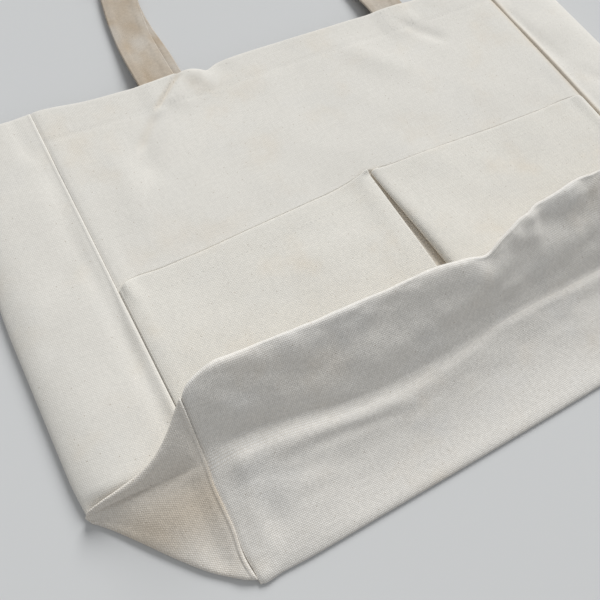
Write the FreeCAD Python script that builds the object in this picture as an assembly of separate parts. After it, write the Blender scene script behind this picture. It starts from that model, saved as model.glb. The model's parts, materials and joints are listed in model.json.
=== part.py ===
import FreeCAD, Part
import math
import os

# Flat-bottomed canvas knitting bag, lying on its back and folded nearly flat.
# Built with X across the bag, Y from the base edge to the mouth and Z up from
# the floor; at export everything moves to the middle of the whole outline.
# All lengths are millimetres.

# Driving dimensions
WIDTH = 380.0            # between the two side seams
HEIGHT = 330.0           # base edge to rim
DEPTH = 127.0            # front to back when the bag stands open
CLOTH = 0.8              # one ply of canvas
FRONT_Z = 11.0           # underside of the front panel above the floor
HINGE_Y = 62.0           # crease where the front panel folds up under the base
RIDGE_Y = 104.0          # top of the folded base, above the front panel
RIDGE_Z = 42.0
SEAM_GAP = 0.6           # half the width of the seam web between two panels
SEAM_ALLOWANCE = 9.0     # turned edge inside each seam
SEAM_PLIES = 1.6         # the two turned plies pressed together
SEAM_BEAD = 0.8          # how far the turned seam stands up outside
HEM_DEPTH = 26.0         # turned hem at the rim
HEM_PLIES = 1.4
STRAP_WIDTH = 27.0
STRAP_THICK = 2.0        # canvas folded to four plies
STRAP_X = 100.0          # centre of each strap leg from the bag's middle
BACK_STRAP_SHIFT = 8.0   # the back handle lies this far to the right of the front one
LOOP_REACH = 214.0       # rim to the top of the loop
POCKET_TOP = 190.0       # pocket mouths, from the base edge
POCKET_LIFT = 6.4        # hollow of a pocket over the front panel
POCKET_HEM_DEPTH = 17.0
POCKET_GAP_LEFT = -6.0   # the valley between the two pockets
POCKET_GAP_RIGHT = 2.0
THREAD_WIDE = 0.7
THREAD_HIGH = 0.3
CLEAR = 0.3              # least gap between bodies that move

# Worked out from the driving dimensions
HALF = WIDTH / 2.0
PANEL_HALF = HALF - SEAM_GAP
SIDE_EDGE = HALF + SEAM_GAP                  # where the gusset cloth starts
FOLD_X = HALF + DEPTH / 2.0                  # the gusset's outer fold
FRONT_TOP = FRONT_Z + CLOTH
HINGE_Z = FRONT_Z + CLOTH / 2.0
GUSSET_FOLD_Z = CLOTH + 2.0 * HEM_PLIES + 2.0 * CLEAR   # room for both hems at the fold
EAR_TIP = (FOLD_X, 70.0, GUSSET_FOLD_Z + CLOTH)
FRONT_GUSSET_START = 80.0                    # its lower edge, clear of the ear
STRAP_AXIS_Y = HEIGHT + 2.0                  # the straps bend just past the rim
LOOP_START = STRAP_AXIS_Y + 1.0
FRONT_STRAP_Z = FRONT_Z - HEM_PLIES - STRAP_THICK / 2.0
BACK_STRAP_Z = CLOTH + HEM_PLIES + STRAP_THICK / 2.0
STRAP_STACK = STRAP_THICK + 1.2              # between the centres of two nested straps
BAG_LENGTH = LOOP_START + LOOP_REACH + STRAP_THICK / 2.0
POCKET_ROOF = FRONT_TOP + POCKET_LIFT        # underside of the raised pocket cloth

# Outer face of the base from the floor edge to the ridge: a gentle rise, a
# soft crest, then the steeper run up to the ridge.
BASE_FACE = [(0.3, CLOTH), (26.0, 9.0), (51.0, 19.0), (63.0, 21.0), (82.0, 32.0),
             (97.0, 40.0), (RIDGE_Y, RIDGE_Z - CLOTH)]

VECTOR = FreeCAD.Vector
NODES = {}


def box(x0, x1, y0, y1, z0, z1):
    return Part.makeBox(x1 - x0, y1 - y0, z1 - z0, VECTOR(x0, y0, z0))


def mirrored(shape):
    return shape.mirror(VECTOR(0, 0, 0), VECTOR(1, 0, 0))


def prism(points, depth):
    """Closed solid from a planar outline pushed along one vector."""
    corners = [VECTOR(*point) for point in points]
    face = Part.Face(Part.makePolygon(corners + corners[:1]))
    return face.extrude(VECTOR(*depth))


def offset_line(line, distance):
    """The line of (y, z) points moved sideways, with mitred corners."""
    normals = []
    for (y0, z0), (y1, z1) in zip(line, line[1:]):
        length = math.hypot(y1 - y0, z1 - z0)
        normals.append((-(z1 - z0) / length, (y1 - y0) / length))
    moved = []
    for index, (y, z) in enumerate(line):
        before = normals[max(index - 1, 0)]
        after = normals[min(index, len(normals) - 1)]
        mitre = 1.0 + before[0] * after[0] + before[1] * after[1]
        moved.append((y + distance * (before[0] + after[0]) / mitre,
                      z + distance * (before[1] + after[1]) / mitre))
    return moved


def bent_sheet(line, x0, x1, low, high):
    """Sheet that follows a line of (y, z) points, between two offsets from it."""
    outline = offset_line(line, low) + offset_line(line, high)[::-1]
    return prism([(x0, y, z) for y, z in outline], (x1 - x0, 0, 0))


def facet(points, thickness):
    """Triangle of cloth thickened straight up, so that neighbours share a wall."""
    return prism(points, (0, 0, thickness))


def joined(solids):
    whole = solids[0]
    for solid in solids[1:]:
        whole = whole.fuse(solid)
    return whole.removeSplitter()


def both_sides(name, shape):
    """Stores the right-hand shape and its mirror image."""
    NODES["right_" + name] = shape
    NODES["left_" + name] = mirrored(shape)


def body_strip():
    """Back, base and the tucked lower part of the front: one strip of cloth."""
    NODES["back_panel"] = box(-PANEL_HALF, PANEL_HALF, 0, HEIGHT, 0, CLOTH)
    NODES["base_panel"] = bent_sheet(BASE_FACE, -PANEL_HALF, PANEL_HALF, 0, CLOTH)
    run = math.hypot(RIDGE_Y - HINGE_Y, RIDGE_Z - HINGE_Z)
    rise = (RIDGE_Z - HINGE_Z) / run
    level = (RIDGE_Y - HINGE_Y) / run
    tuck_start = 5.0
    tuck_end = run - 4.0
    tuck = [(HINGE_Y + level * reach, HINGE_Z + rise * reach) for reach in (tuck_start, tuck_end)]
    NODES["front_panel_tuck"] = bent_sheet(tuck, -PANEL_HALF, PANEL_HALF, -CLOTH / 2, CLOTH / 2)
    NODES["front_panel"] = box(-PANEL_HALF, PANEL_HALF, HINGE_Y + 1.0, HEIGHT, FRONT_Z, FRONT_TOP)


def gusset_slope(x):
    """Height of the front gusset's underside above the floor at x."""
    across = (x - SIDE_EDGE) / (FOLD_X - SIDE_EDGE)
    return FRONT_Z + across * (GUSSET_FOLD_Z - FRONT_Z)


def gusset_strip(y0, y1, low, high):
    """Sloping strip over the whole front gusset, between two offsets from its underside."""
    section = [(SIDE_EDGE, y0, FRONT_Z + low), (FOLD_X, y0, GUSSET_FOLD_Z + low),
               (FOLD_X, y0, GUSSET_FOLD_Z + high), (SIDE_EDGE, y0, FRONT_Z + high)]
    return prism(section, (0, y1 - y0, 0))


def gussets():
    back_outline = [(SIDE_EDGE, 1.0, 0), (FOLD_X, EAR_TIP[1] - 2.0, 0), (FOLD_X, HEIGHT, 0),
                    (SIDE_EDGE, HEIGHT, 0)]
    both_sides("gusset_back", prism(back_outline, (0, 0, CLOTH)))
    both_sides("gusset_front", gusset_strip(FRONT_GUSSET_START, HEIGHT, 0, CLOTH))


def ears():
    """The gusset's lower end, folded over the side of the base."""
    back_corner = (SIDE_EDGE, 2.0, CLOTH + 0.1)
    middle = (SIDE_EDGE, 57.0, 20.0)
    front_corner = (SIDE_EDGE, RIDGE_Y - 1.0, RIDGE_Z - 1.4)
    lower = facet([back_corner, EAR_TIP, middle], CLOTH)
    upper = facet([middle, EAR_TIP, front_corner], CLOTH)
    both_sides("gusset_ear", joined([lower, upper]))
    under = CLOTH + CLEAR
    tip = (EAR_TIP[0] - 1.0, EAR_TIP[1], EAR_TIP[2] - under)
    corner = (SIDE_EDGE, front_corner[1], front_corner[2] - under)
    crease = (SIDE_EDGE, HINGE_Y + 2.0, HINGE_Z + 1.0)
    both_sides("gusset_tuck", facet([crease, tip, corner], CLOTH))


def side_seams():
    """Turned seams: a web between two panels, a low bead outside, plies inside."""
    inner = PANEL_HALF - SEAM_ALLOWANCE
    start = 78.0
    end = HEIGHT - HEM_DEPTH
    web = box(PANEL_HALF, SIDE_EDGE, start, HEIGHT, FRONT_Z - SEAM_PLIES, FRONT_TOP + SEAM_BEAD)
    plies = box(inner, PANEL_HALF, start, end, FRONT_Z - SEAM_PLIES, FRONT_Z)
    both_sides("front_seam", joined([web, plies]))
    back_start = 12.0
    web = box(PANEL_HALF, SIDE_EDGE, back_start, HEIGHT, 0, CLOTH + SEAM_PLIES)
    plies = box(inner, PANEL_HALF, back_start, end, CLOTH, CLOTH + SEAM_PLIES)
    both_sides("back_seam", joined([web, plies]))
    run = BASE_FACE[1:-1]
    web = bent_sheet(run, PANEL_HALF, SIDE_EDGE, -SEAM_PLIES, CLOTH + SEAM_BEAD)
    plies = bent_sheet(run, inner, PANEL_HALF, -SEAM_PLIES, 0)
    both_sides("base_seam", joined([web, plies]))


def rim_hems():
    start = HEIGHT - HEM_DEPTH
    NODES["front_hem"] = box(-PANEL_HALF, PANEL_HALF, start, HEIGHT, FRONT_Z - HEM_PLIES, FRONT_Z)
    NODES["back_hem"] = box(-PANEL_HALF, PANEL_HALF, start, HEIGHT, CLOTH, CLOTH + HEM_PLIES)
    both_sides("gusset_front_hem", gusset_strip(start, HEIGHT, -HEM_PLIES, 0))
    both_sides("gusset_back_hem", box(SIDE_EDGE, FOLD_X, start, HEIGHT, CLOTH, CLOTH + HEM_PLIES))


def pocket(x0, x1):
    """Patch pocket: raised cloth with two sides and a sloping foot, open at its mouth."""
    foot = 76.0
    full = 98.0
    outer = [(x0, foot, FRONT_TOP), (x0, full, POCKET_ROOF + CLOTH),
             (x0, POCKET_TOP, POCKET_ROOF + CLOTH), (x0, POCKET_TOP, FRONT_TOP)]
    inner = [(x0 + CLOTH, foot + 3.0, FRONT_TOP), (x0 + CLOTH, full + 0.5, POCKET_ROOF),
             (x0 + CLOTH, POCKET_TOP, POCKET_ROOF), (x0 + CLOTH, POCKET_TOP, FRONT_TOP)]
    hollow = prism(inner, (x1 - x0 - 2 * CLOTH, 0, 0))
    return prism(outer, (x1 - x0, 0, 0)).cut(hollow)


def pocket_hem(x0, x1):
    start = POCKET_TOP - POCKET_HEM_DEPTH
    return box(x0 + CLOTH, x1 - CLOTH, start, POCKET_TOP, POCKET_ROOF - HEM_PLIES, POCKET_ROOF)


def stitch_row(x0, x1, y, z):
    """Row of stitches along X, lying on a surface at height z."""
    pitch = 6.0
    length = 4.4
    count = int((x1 - x0) // pitch)
    first = (x0 + x1 - count * pitch) / 2.0
    low = y - THREAD_WIDE / 2
    high = y + THREAD_WIDE / 2
    stitches = []
    for index in range(count):
        start = first + index * pitch
        stitches.append(box(start, start + length, low, high, z, z + THREAD_HIGH))
    return stitches


def stitch_column(x, y0, y1, z):
    """Row of stitches along Y."""
    pitch = 6.0
    length = 4.4
    left = x - THREAD_WIDE / 2
    right = x + THREAD_WIDE / 2
    stitches = []
    for index in range(int((y1 - y0) // pitch)):
        start = y0 + index * pitch
        stitches.append(box(left, right, start, start + length, z, z + THREAD_HIGH))
    return stitches


def box_tack(x, z):
    """Square of thread with a cross in it, where a strap end is sewn to the hem."""
    half = 10.5
    middle = HEIGHT - HEM_DEPTH / 2.0
    slant = THREAD_WIDE / math.sqrt(2.0)
    top = middle + half
    bottom = middle - half
    edges = [box(x - half, x + half, level, level + THREAD_WIDE, z, z + THREAD_HIGH)
             for level in (bottom, top - THREAD_WIDE)]
    edges += [box(side, side + THREAD_WIDE, bottom, top, z, z + THREAD_HIGH)
              for side in (x - half, x + half - THREAD_WIDE)]
    for sign in (-1.0, 1.0):
        diagonal = [(x - sign * half, bottom, z), (x - sign * (half - slant), bottom, z),
                    (x + sign * half, top - slant, z), (x + sign * half, top, z),
                    (x + sign * (half - slant), top, z), (x - sign * half, bottom + slant, z)]
        edges.append(prism(diagonal, (0, 0, THREAD_HIGH)))
    return joined(edges)


def pockets():
    spans = {"left": (-PANEL_HALF, POCKET_GAP_LEFT), "right": (POCKET_GAP_RIGHT, PANEL_HALF)}
    for side, (x0, x1) in spans.items():
        NODES[side + "_pocket"] = pocket(x0, x1)
        NODES[side + "_pocket_hem"] = pocket_hem(x0, x1)
        inset = 3.0
        row = POCKET_TOP - POCKET_HEM_DEPTH + inset
        stitches = stitch_row(x0 + inset, x1 - inset, row, POCKET_ROOF + CLOTH)
        NODES[side + "_pocket_hem_stitches"] = Part.makeCompound(stitches)
    middle = (POCKET_GAP_LEFT + POCKET_GAP_RIGHT) / 2.0
    spread = 1.8
    rows = stitch_column(middle - spread, 82.0, POCKET_TOP, FRONT_TOP)
    rows += stitch_column(middle + spread, 82.0, POCKET_TOP, FRONT_TOP)
    NODES["pocket_divider_stitches"] = Part.makeCompound(rows)


def rim_stitches():
    inset = 4.0
    row = HEIGHT - HEM_DEPTH + 2.0
    reach = PANEL_HALF - inset
    NODES["front_hem_stitches"] = Part.makeCompound(stitch_row(-reach, reach, row, FRONT_TOP))
    tacks = [box_tack(x, FRONT_TOP) for x in (-STRAP_X, STRAP_X)]
    NODES["front_handle_tacks"] = Part.makeCompound(tacks)
    lift = CLOTH + HEM_PLIES + STRAP_THICK
    tacks = [box_tack(x + BACK_STRAP_SHIFT, lift) for x in (-STRAP_X, STRAP_X)]
    NODES["back_handle_tacks"] = Part.makeCompound(tacks)


def strap_ends(shift, middle_z):
    """The two sewn ends of a handle, inside the hem."""
    start = HEIGHT - HEM_DEPTH + 1.0
    ends = []
    for centre in (-STRAP_X + shift, STRAP_X + shift):
        ends.append(box(centre - STRAP_WIDTH / 2, centre + STRAP_WIDTH / 2, start, STRAP_AXIS_Y,
                        middle_z - STRAP_THICK / 2, middle_z + STRAP_THICK / 2))
    return Part.makeCompound(ends)


def smooth(value):
    value = min(max(value, 0.0), 1.0)
    return value * value * (3.0 - 2.0 * value)


def strap_section(turn, nested, shift, start_z):
    """Four corners of a strap at one station of its loop.

    turn runs from 0 at the left leg to pi at the right one along half an
    ellipse. The strap leaves the rim flat and turns onto its edge before the
    top of the loop. nested is how far it lies inside or over the outer strap.
    """
    along = math.sin(turn)
    x = -STRAP_X * math.cos(turn)
    y = LOOP_START + LOOP_REACH * along
    slope_x = STRAP_X * math.sin(turn)
    slope_y = LOOP_REACH * math.cos(turn)
    length = math.hypot(slope_x, slope_y)
    outward = (-slope_y / length, slope_x / length)
    twist = math.radians(88.0) * smooth((along - 0.45) / 0.5)
    settle = smooth(along / 0.25)
    on_floor = (math.sin(twist) * STRAP_WIDTH + math.cos(twist) * STRAP_THICK) / 2.0
    stacked = on_floor + nested * math.cos(twist)
    z = start_z + (stacked - start_z) * settle
    x += shift * (1.0 - smooth((along - 0.1) / 0.35)) - outward[0] * nested * math.sin(twist)
    y -= outward[1] * nested * math.sin(twist)
    wide = (outward[0] * math.cos(twist), outward[1] * math.cos(twist), math.sin(twist))
    thick = (-outward[0] * math.sin(twist), -outward[1] * math.sin(twist), math.cos(twist))
    corners = []
    for across, through in ((-1, -1), (1, -1), (1, 1), (-1, 1)):
        corners.append(VECTOR(*[
            centre + across * STRAP_WIDTH / 2 * w + through * STRAP_THICK / 2 * t
            for centre, w, t in zip((x, y, z), wide, thick)]))
    return Part.makePolygon(corners + corners[:1])


def handle(nested, shift, start_z):
    stations = 40
    sections = [strap_section(math.pi * index / stations, nested, shift, start_z)
                for index in range(stations + 1)]
    return Part.makeLoft(sections, True, True)


def handles():
    NODES["front_handle_ends"] = strap_ends(0.0, FRONT_STRAP_Z)
    NODES["back_handle_ends"] = strap_ends(BACK_STRAP_SHIFT, BACK_STRAP_Z)
    NODES["front_handle_strap"] = handle(STRAP_STACK, 0.0, FRONT_STRAP_Z)
    NODES["back_handle_strap"] = handle(0.0, BACK_STRAP_SHIFT, BACK_STRAP_Z)


def main():
    os.makedirs("parts", exist_ok=True)
    body_strip()
    gussets()
    ears()
    side_seams()
    rim_hems()
    pockets()
    rim_stitches()
    handles()
    for name, shape in NODES.items():
        shape.translate(VECTOR(0, -BAG_LENGTH / 2.0, 0))
        shape.exportStep("parts/" + name + ".step")
        state = "valid" if shape.isValid() else "NOT VALID"
        print(name, len(shape.Solids), "solids,", round(shape.Volume, 1), "mm3,", state)


main()
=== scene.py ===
import json
import math

import bpy
import numpy as np
from mathutils import Matrix, Vector

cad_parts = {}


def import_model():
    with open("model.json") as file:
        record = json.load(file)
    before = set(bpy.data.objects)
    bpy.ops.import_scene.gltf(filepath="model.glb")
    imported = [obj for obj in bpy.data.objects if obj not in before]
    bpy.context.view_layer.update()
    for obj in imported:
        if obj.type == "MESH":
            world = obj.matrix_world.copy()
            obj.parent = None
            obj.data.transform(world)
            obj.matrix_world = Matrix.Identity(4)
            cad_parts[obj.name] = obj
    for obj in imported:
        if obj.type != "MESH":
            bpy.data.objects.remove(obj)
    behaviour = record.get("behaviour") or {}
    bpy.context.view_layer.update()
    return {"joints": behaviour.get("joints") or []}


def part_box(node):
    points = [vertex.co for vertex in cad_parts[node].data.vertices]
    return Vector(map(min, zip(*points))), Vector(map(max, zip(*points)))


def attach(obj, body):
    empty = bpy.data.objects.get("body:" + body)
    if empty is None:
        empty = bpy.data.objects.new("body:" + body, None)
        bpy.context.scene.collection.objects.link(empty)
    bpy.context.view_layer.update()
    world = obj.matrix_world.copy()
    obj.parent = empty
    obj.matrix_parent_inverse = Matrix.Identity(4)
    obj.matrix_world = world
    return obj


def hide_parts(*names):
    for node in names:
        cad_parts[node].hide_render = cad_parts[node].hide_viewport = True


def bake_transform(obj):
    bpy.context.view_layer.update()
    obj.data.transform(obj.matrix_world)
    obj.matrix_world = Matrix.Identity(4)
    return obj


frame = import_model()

# Canvas knitting bag, lying on its back with its base folded up over the
# front. Shapes are worked out in millimetres from the middle of the base edge
# (x across, y towards the mouth, z up) and placed in the frame at the end.

MM = 0.001
BASE_EDGE_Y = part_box("base_panel")[0].y


def corners_mm(node):
    """Lowest and highest corner of a CAD node, in this script's millimetres."""
    shift = Vector((0, BASE_EDGE_Y, 0))
    low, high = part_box(node)
    return (low - shift) / MM, (high - shift) / MM


def joint_mm(name):
    joint = next(j for j in frame["joints"] if j["name"] == name)
    return (Vector(joint["pos_m"]) - Vector((0, BASE_EDGE_Y, 0))) / MM


# Sizes taken from the frame
CLOTH = corners_mm("back_panel")[1].z
MID = CLOTH / 2
SEAM_X = (corners_mm("front_panel")[1].x + corners_mm("right_gusset_front")[0].x) / 2
FOLD_X = corners_mm("right_gusset_back")[1].x
RIM_Y = corners_mm("front_panel")[1].y
CREASE = joint_mm("mouth_open")
POCKET_TOP = corners_mm("left_pocket")[1].y
HEM_DEPTH = RIM_Y - corners_mm("front_hem")[0].y
POCKET_HEM_DEPTH = POCKET_TOP - corners_mm("left_pocket_hem")[0].y
FRONT_ENDS = corners_mm("front_handle_ends")
BACK_ENDS = corners_mm("back_handle_ends")
BACK_LOOP = corners_mm("back_handle_strap")
STRAP_THICK = FRONT_ENDS[1].z - FRONT_ENDS[0].z
STRAP_END_Y = FRONT_ENDS[0].y
FRONT_STRAP_Z = (FRONT_ENDS[0].z + FRONT_ENDS[1].z) / 2
BACK_STRAP_Z = (BACK_ENDS[0].z + BACK_ENDS[1].z) / 2
BACK_STRAP_SHIFT = (BACK_ENDS[0].x + BACK_ENDS[1].x) / 2
LOOP_START = BACK_LOOP[0].y
LOOP_REACH = BACK_LOOP[1].y - LOOP_START - STRAP_THICK / 2

# Sizes that go with them
STRAP_X = 100  # from the bag's middle to the middle of a strap's end
STRAP_WIDTH = 27
RIM_INSET = 0.6  # the cloth's middle stops this short of the rim
HEM_GAP = CLOTH + 0.4  # between the middles of a hem's two plies
SIDES = ((1, "right"), (-1, "left"))


# ---- number tools

def smooth(value):
    value = np.clip(value, 0, 1)
    return value * value * (3 - 2 * value)


def after(value, start, width):
    """Eases from 0 at the start to 1 a width beyond it."""
    return smooth((value - start) / width)


def before(value, end, width):
    """Eases from 1 a width short of the end to 0 at the end."""
    return smooth((end - value) / width)


def bell(distance, width):
    return np.exp(-(distance / width) ** 2)


def running(steps):
    """Running total of the steps along the first axis, from 0."""
    steps = np.asarray(steps, float)
    return np.concatenate([np.zeros_like(steps[:1]), np.cumsum(steps, axis=0)])


def gaps(points):
    """Distance from each point, or row of points, to the next."""
    return np.linalg.norm(np.diff(points, axis=0), axis=-1)


def soft_noise(x, y, size, seed):
    """Smooth random height between -1 and 1, with lumps of about the given size."""
    table = np.random.default_rng(seed).uniform(-1, 1, (64, 64))
    gx = np.asarray(x) / size + 17.3
    gy = np.asarray(y) / size + 29.1
    ix = np.floor(gx).astype(int)
    iy = np.floor(gy).astype(int)
    fx = gx - ix
    fy = gy - iy
    fx = fx * fx * fx * (fx * (fx * 6 - 15) + 10)
    fy = fy * fy * fy * (fy * (fy * 6 - 15) + 10)

    def at(dx, dy):
        return table[(ix + dx) % 64, (iy + dy) % 64]

    return ((at(0, 0) * (1 - fx) + at(1, 0) * fx) * (1 - fy)
            + (at(0, 1) * (1 - fx) + at(1, 1) * fx) * fy)


def noises(x, y, *layers):
    """Layers of soft noise added up, each given as its height, size and seed."""
    return sum(height * soft_noise(x, y, size, seed) for height, size, seed in layers)


def fold(x, y, start, end, width, height, fade=0.25):
    """Height of a soft ridge, or a valley where height is negative, along one straight run."""
    run = np.array(end, float) - np.array(start, float)
    length = float(np.hypot(*run))
    along = ((x - start[0]) * run[0] + (y - start[1]) * run[1]) / length ** 2
    beside = np.abs((x - start[0]) * run[1] - (y - start[1]) * run[0]) / length
    beyond = np.maximum(0, np.maximum(-along, along - 1)) * length
    ends = smooth(along / fade) * smooth((1 - along) / fade)
    return height * bell(beside, width) * np.where(beyond > 0, 0, ends)


def folds(x, y, table):
    """Height of several folds together."""
    return sum(fold(x, y, *row) for row in table)


def spaced(length, step, fine=0.7, margin=4, ends=(True, True)):
    """Distances from 0 to length, closer together near the ends that are asked for."""
    start = margin if ends[0] else 0
    stop = length - margin if ends[1] else length
    parts = [np.linspace(start, stop, max(2, int(round((stop - start) / step)) + 1))]
    if ends[0]:
        parts.append(np.arange(0, margin, fine))
    if ends[1]:
        parts.append(length - np.arange(0, margin, fine))
    return np.unique(np.round(np.concatenate(parts), 4))


def between(a, b, start, end, t):
    """Value at t on the straight line from a at start to b at end."""
    return (end - t) / (end - start) * a + (t - start) / (end - start) * b


def curve_through(points, step):
    """Smooth curves through rows of control points.

    points has the shape (rows, columns, 3). Every column is one curve, sampled
    at the same places, about one step apart. It also returns the distance run.
    """
    points = np.asarray(points, float)
    chord = gaps(points).mean(axis=1)
    knots = running(np.sqrt(chord))
    held = np.concatenate([2 * points[:1] - points[1:2], points, 2 * points[-1:] - points[-2:-1]])
    times = np.concatenate([[-knots[1]], knots, [2 * knots[-1] - knots[-2]]])
    rows = []
    for i in range(1, len(held) - 2):
        t0, t1, t2, t3 = times[i - 1:i + 3]
        p0, p1, p2, p3 = held[i - 1:i + 3]
        count = max(3, int(round(chord[i - 1] / step)))
        for t in np.linspace(t1, t2, count, endpoint=False):
            a1 = between(p0, p1, t0, t1, t)
            a2 = between(p1, p2, t1, t2, t)
            a3 = between(p2, p3, t2, t3, t)
            b1 = between(a1, a2, t0, t2, t)
            b2 = between(a2, a3, t1, t3, t)
            rows.append(between(b1, b2, t1, t2, t))
    rows = np.array(rows + [points[-1]])
    return rows, running(gaps(rows).mean(axis=1))


def through(stations, x):
    """Smooth values at x through (x, value, value...) stations."""
    xs = np.array([s[0] for s in stations], float)
    values = np.array([s[1:] for s in stations], float)
    slopes = np.gradient(values, xs, axis=0)
    x = np.clip(np.asarray(x, float), xs[0], xs[-1])
    i = np.clip(np.searchsorted(xs, x) - 1, 0, len(xs) - 2)
    width = xs[i + 1] - xs[i]
    t = ((x - xs[i]) / width)[..., None]
    w = width[..., None]
    return ((2 * t ** 3 - 3 * t ** 2 + 1) * values[i] + (t ** 3 - 2 * t ** 2 + t) * w * slopes[i]
            + (3 * t ** 2 - 2 * t ** 3) * values[i + 1] + (t ** 3 - t ** 2) * w * slopes[i + 1])


def level_on(stations, x):
    """The only value of (x, value) stations at x."""
    return through(stations, x)[..., 0]


def xyz(x, y, z):
    """Points from their three parts, each an array or one number for all."""
    return np.stack(np.broadcast_arrays(x, y, z), axis=-1)


def columns_at(x, pairs):
    """Rows of control points from (y, z) pairs, with one column for each x."""
    return np.array([xyz(x, y, z) for y, z in pairs])


def unit(vectors):
    return vectors / np.maximum(np.linalg.norm(vectors, axis=-1, keepdims=True), 1e-9)


def grid_normals(grid):
    """Normals of a (rows, columns, 3) sheet: across columns, then along rows."""
    return unit(np.cross(np.gradient(grid, axis=1), np.gradient(grid, axis=0)))


def raised(grid, height):
    """The sheet moved along its normals."""
    return grid + grid_normals(grid) * height[..., None]


# ---- materials

class Graph:
    """Small helper that adds shader nodes and links them."""

    def __init__(self, name):
        self.material = bpy.data.materials.new(name)
        self.material.use_nodes = True
        self.nodes = self.material.node_tree.nodes
        self.links = self.material.node_tree.links
        self.shader = self.nodes["Principled BSDF"]

    def put(self, kind, settings=None, **inputs):
        node = self.nodes.new("ShaderNode" + kind)
        for key, value in (settings or {}).items():
            setattr(node, key, value)
        for key, value in inputs.items():
            self.feed(node, key.replace("_", " "), value)
        return node

    def feed(self, node, key, value):
        """Links or sets an input, given by its name or by its place."""
        socket = node.inputs[key]
        if isinstance(value, bpy.types.NodeSocket):
            self.links.new(value, socket)
        else:
            socket.default_value = value

    def surface(self, **inputs):
        """Links or sets inputs of the shader that makes the surface."""
        for key, value in inputs.items():
            self.feed(self.shader, key.replace("_", " "), value)

    def attribute(self, name, output="Vector"):
        return self.put("Attribute", {"attribute_name": name}).outputs[output]

    def math(self, operation, a, b=0):
        node = self.put("Math", {"operation": operation})
        self.feed(node, 0, a)
        self.feed(node, 1, b)
        return node.outputs[0]

    def times(self, a, b):
        return self.math("MULTIPLY", a, b)

    def mix(self, factor, a, b, blend="MIX"):
        node = self.put("Mix", {"data_type": "RGBA", "blend_type": blend})
        for place, value in ((0, factor), (6, a), (7, b)):
            self.feed(node, place, value)
        return node.outputs[2]

    def toned(self, factor, tint, tone):
        """The tint multiplied by a tone, as far as the factor says."""
        return self.mix(factor, tint, self.mix(1, tint, tone, "MULTIPLY"))

    def noise(self, vector, scale, detail=2, roughness=0.5):
        return self.put("TexNoise", Vector=vector, Scale=scale, Detail=detail,
                        Roughness=roughness).outputs[0]

    def stretched(self, vector, across, along):
        """The vector scaled differently in its first two parts."""
        node = self.put("VectorMath", {"operation": "MULTIPLY"})
        self.feed(node, 0, vector)
        self.feed(node, 1, (across, along, 1))
        return node.outputs[0]

    def span(self, value, low, high, to_low=0, to_high=1):
        """The value's way from low to high, eased and turned into to_low to to_high."""
        node = self.put("MapRange", {"interpolation_type": "SMOOTHSTEP"})
        for place, number in enumerate((value, low, high, to_low, to_high)):
            self.feed(node, place, number)
        return node.outputs[0]


YARN_LOSS = (0.1, 0.12, 0.15)  # how much each colour loses between the yarns
WARM = (0.985, 0.93, 0.86, 1)  # tones of the warm and cool blotches, and of the painted shade and the straps' random patches
COOL = (0.965, 0.985, 1.02, 1)
SHADE_AND_PATCH_TONE = (0.8, 0.68, 0.53, 1)
SEED = (0.24, 0.16, 0.09, 1)


def weave(g, grain, thick_u, thick_v, pitch):
    """Height of yarns that cross over and under each other, each cell a little different."""
    split = g.put("SeparateXYZ", Vector=grain)
    wander = 0.3 * pitch
    u = g.math("ADD", split.outputs[0], g.times(g.math("SUBTRACT", thick_v, 0.5), wander))
    v = g.math("ADD", split.outputs[1], g.times(g.math("SUBTRACT", thick_u, 0.5), wander))
    wave_u = g.math("SINE", g.times(u, math.pi / pitch))
    wave_v = g.math("SINE", g.times(v, math.pi / pitch))
    round_u, round_v = (g.math("POWER", g.math("ABSOLUTE", wave), 0.7) for wave in (wave_u, wave_v))
    over = g.math("GREATER_THAN", g.times(wave_u, wave_v), 0)
    yarn = g.times(g.times(round_u, round_v), g.math("ADD", 0.62, g.times(over, 0.38)))
    cell = g.put("CombineXYZ", X=g.math("FLOOR", g.math("DIVIDE", u, pitch)),
                 Y=g.math("FLOOR", g.math("DIVIDE", v, pitch))).outputs[0]
    chance = g.put("TexWhiteNoise", {"noise_dimensions": "2D"}, Vector=cell).outputs[0]
    return g.times(yarn, g.span(chance, 0, 1, 0.84, 1))


def blotched(g, grain, thick_u, thick_v, tint, blotch, depth):
    """Warm and cool blotches, streaks along the yarns and fine mottling."""
    warm = g.span(g.noise(grain, 21, 3, 0.6), 0.5, 0.78, 0, blotch)
    cool = g.span(g.noise(grain, 26), 0.48, 0.72, 0, 0.22 * depth)
    tint = g.toned(cool, g.toned(warm, tint, WARM), COOL)
    streaks = g.math("ADD", g.span(thick_u, 0.2, 0.8, 0.965, 1),
                     g.span(thick_v, 0.2, 0.8, -0.015, 0.02))
    mottle = g.span(g.noise(grain, 420, 2, 0.6), 0.35, 0.65, 1 - 0.045 * depth, 1)
    tone = g.times(streaks, mottle)
    grey = g.put("CombineXYZ", X=tone, Y=tone, Z=tone).outputs[0]
    return g.mix(1, tint, grey, "MULTIPLY")


def seeded(g, grain, tint):
    """Small dark flecks of seed, in one cell of five."""
    cells = g.put("TexVoronoi", {"voronoi_dimensions": "2D"}, Vector=grain, Scale=130)
    tiny = g.span(cells.outputs["Distance"], 0.02, 0.06, 1, 0)
    chosen = g.put("SeparateXYZ", Vector=cells.outputs["Color"]).outputs[0]
    few = g.times(g.math("GREATER_THAN", chosen, 0.8), 0.5)
    return g.mix(g.times(tiny, few), tint, SEED)


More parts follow.
